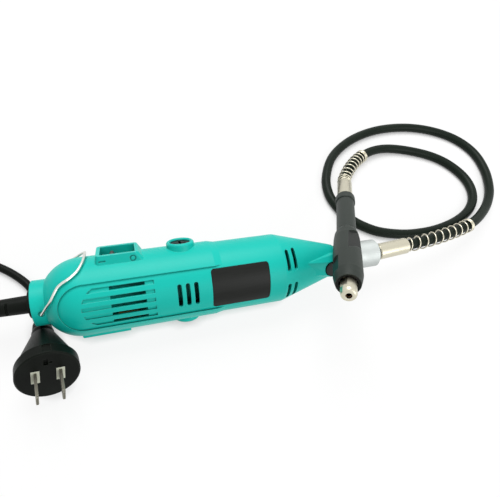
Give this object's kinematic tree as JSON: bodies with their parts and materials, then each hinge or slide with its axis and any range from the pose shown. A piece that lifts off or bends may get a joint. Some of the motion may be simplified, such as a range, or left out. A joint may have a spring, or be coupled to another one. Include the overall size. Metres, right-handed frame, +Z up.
{
  "type": "rotary tool with flex shaft",
  "caption": "Handheld electric rotary grinder with a flexible shaft, a slim collet handpiece, slide switch, spindle lock, wire hanging bail and a mains cord with plug.",
  "frame": {"origin": "on the table top, at the middle of the box round the tool and its handpiece, free cords left out", "axes": "+X along the motor housing from the cord end to the nose, +Z up from the table"},
  "size_m": [0.54, 0.2046, 0.0699],
  "materials": {
    "teal_housing": "moulded ABS, satin",
    "dark_plastic": "moulded nylon, satin",
    "switch_plastic": "moulded, grey-brown",
    "capacitor_plastic": "glossy case",
    "screw_steel": "zinc plated",
    "machine_steel": "turned",
    "core_steel": "stacked sheets",
    "copper": null,
    "carbon": "pressed carbon",
    "brass": "stamped",
    "nickel": "bright nickel plate",
    "bare_aluminium": "turned, bright",
    "cord_rubber": "moulded PVC, satin",
    "sheath_rubber": "extruded, satin",
    "grip_plastic": "fine textured nylon",
    "pale_plastic": "unpigmented nylon"
  },
  "bodies": {
    "tool": {"near_housing": "teal_housing", "far_housing": "teal_housing", "housing_screws": "screw_steel", "label_plate": "dark_plastic", "switch_body": "dark_plastic", "suppressor": "capacitor_plastic", "brush_caps": "dark_plastic", "brush_holders": "brass", "carbon_brushes": "carbon", "brush_springs": "screw_steel", "field_core": "core_steel", "field_coils": "copper", "rear_bearing": "machine_steel", "front_bearing": "machine_steel", "lock_spring": "screw_steel", "nose_ring": "dark_plastic", "cord_boot": "cord_rubber", "cord_inner_end": "cord_rubber", "cord_clamp": "pale_plastic", "clamp_screws": "screw_steel", "coupling_nut": "bare_aluminium", "cable_fitting": "machine_steel", "tool_ferrule": "nickel", "tool_spring": "nickel", "flex_cable": "sheath_rubber", "hand_spring": "nickel", "hand_ferrule": "nickel", "hand_cap": "dark_plastic", "hand_sleeve": "grip_plastic", "hand_grip": "grip_plastic", "mouth_ring": "dark_plastic", "spindle_rear_bearing": "machine_steel", "spindle_front_bearing": "machine_steel", "boot_lead": "cord_rubber", "cord_coil": "cord_rubber", "plug_lead": "cord_rubber", "cord_tie": "cord_rubber", "plug_body": "cord_rubber", "plug_blades": "nickel", "blade_inserts": "pale_plastic"},
    "switch": {"switch_slider": "switch_plastic"},
    "lock": {"lock_button": "dark_plastic"},
    "bail": {"hanging_bail": "nickel"},
    "rotor": {"motor_shaft": "machine_steel", "armature_core": "core_steel", "armature_windings": "copper", "commutator": "copper", "cooling_fan": "dark_plastic", "drive_socket": "machine_steel", "core_tip": "machine_steel"},
    "hand_rotor": {"hand_spindle": "machine_steel", "collet": "machine_steel", "collet_nut": "nickel"}
  },
  "joints": [
    {"name": "switch_slide", "type": "slide", "parent": "tool", "child": "switch", "axis": [1, 0, 0], "range_m": [0, 0.007]},
    {"name": "lock_press", "type": "slide", "parent": "tool", "child": "lock", "axis": [0, 0.7361, -0.6769], "range_m": [0, 0.0025], "stiffness_N_per_m": 300, "springref_m": -0.002},
    {"name": "bail_swing", "type": "hinge", "parent": "tool", "child": "bail", "pos_m": [-0.0997, -0.01679, 0.02235], "axis": [0, -0.7361, 0.6769], "range_deg": [0, 120]},
    {"name": "rotor_spin", "type": "hinge", "parent": "tool", "child": "rotor", "pos_m": [0.015, -0.0155, 0.02375], "axis": [1, 0, 0], "continuous": true},
    {"name": "hand_spin", "type": "hinge", "parent": "tool", "child": "hand_rotor", "pos_m": [0.09347, -0.01217, 0.04296], "axis": [-0.4423, -0.8112, 0.3827], "continuous": true}
  ],
  "couplings": [
    {"joint": "hand_spin", "follows": "rotor_spin", "ratio": 1}
  ]
}
